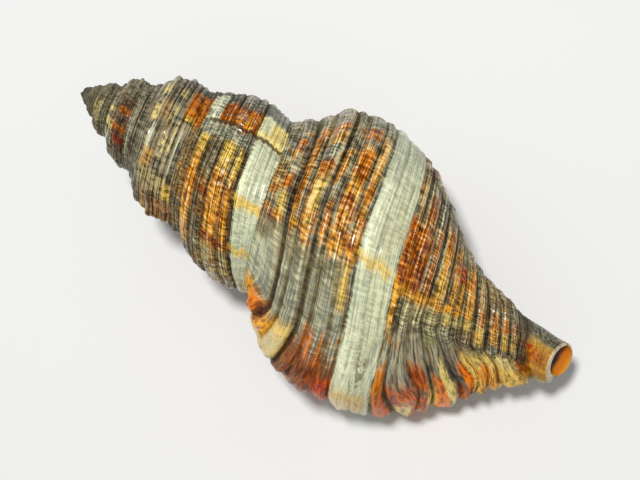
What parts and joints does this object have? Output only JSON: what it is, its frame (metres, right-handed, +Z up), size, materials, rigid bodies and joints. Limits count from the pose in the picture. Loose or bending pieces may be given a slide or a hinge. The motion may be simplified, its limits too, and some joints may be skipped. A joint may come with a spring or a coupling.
{
  "type": "triton sea shell",
  "caption": "Empty right-handed triton shell with a pointed spire, raised old lips, a flared outer lip, an open toothed mouth and a short canal, lying on its mouth.",
  "frame": {"origin": "on the ground under the middle of the shell's bounding box", "axes": "+X from the pointed apex to the open end of the canal, +Z up out of the back, with the outer lip on the -Y side and the mouth facing down"},
  "size_m": [0.1182, 0.0584, 0.05],
  "materials": {
    "shell": "satin"
  },
  "bodies": {
    "root": {"shell": "shell"}
  },
  "joints": []
}
